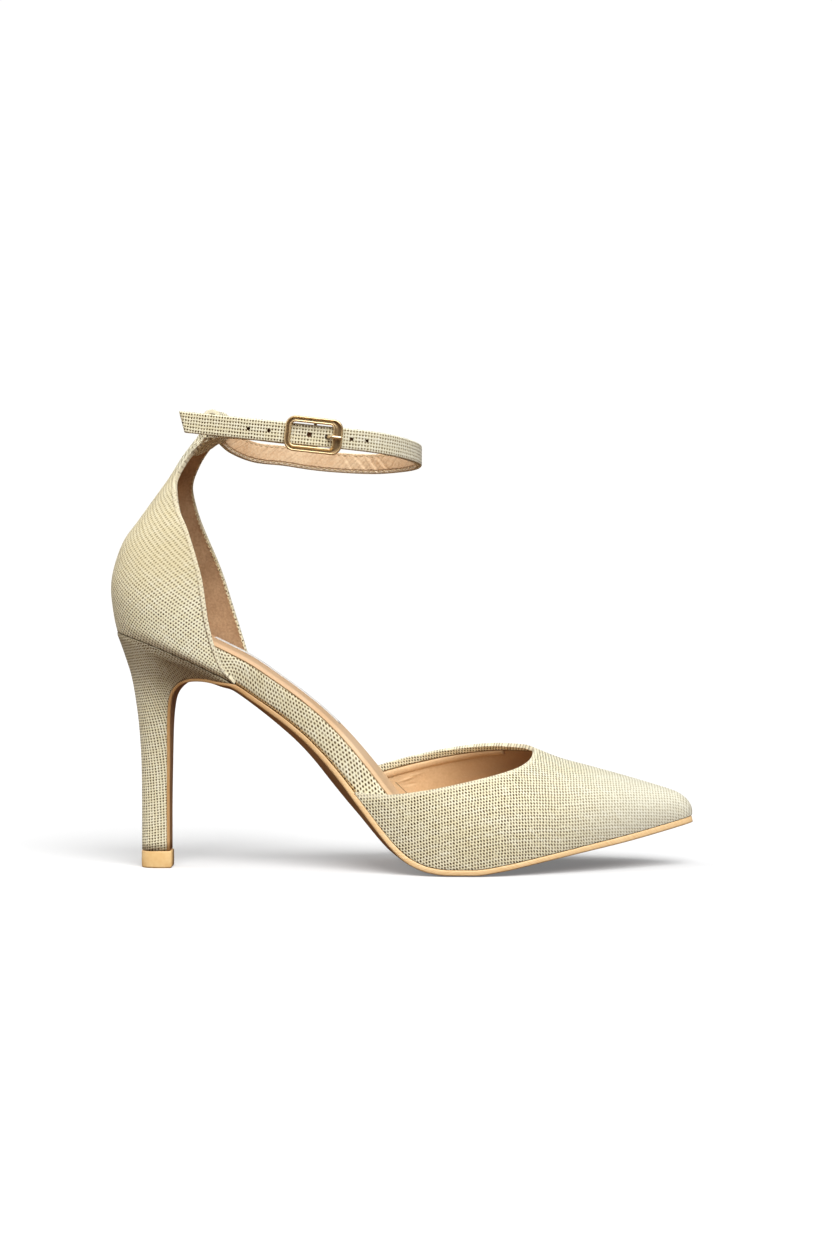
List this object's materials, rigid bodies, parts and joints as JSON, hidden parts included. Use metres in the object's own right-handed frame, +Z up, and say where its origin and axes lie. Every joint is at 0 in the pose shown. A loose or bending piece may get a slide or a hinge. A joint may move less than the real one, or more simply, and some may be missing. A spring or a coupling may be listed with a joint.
{
  "type": "stiletto heel shoe with ankle strap",
  "caption": "Pointed-toe stiletto heel in woven natural cloth, cut open at both sides, with a covered slim heel and a buckled ankle strap.",
  "frame": {"origin": "middle of the shoe's plan box, on the floor under it", "axes": "+X to the toe, +Z up, -Y the outer side of the right foot"},
  "size_m": [0.2273, 0.0711, 0.1779],
  "materials": {
    "linen": "coarse natural woven cloth",
    "lining": "smooth tan lining",
    "sole": "satin tan sole and heel tip",
    "gold": "polished antique gold"
  },
  "bodies": {
    "root": {"vamp": "linen", "counter": "linen", "insole": "linen", "sock": "lining", "outsole": "sole", "heel": "linen", "top_piece": "sole", "ankle_strap": "linen", "buckle": "gold", "prong": "gold"}
  },
  "joints": []
}
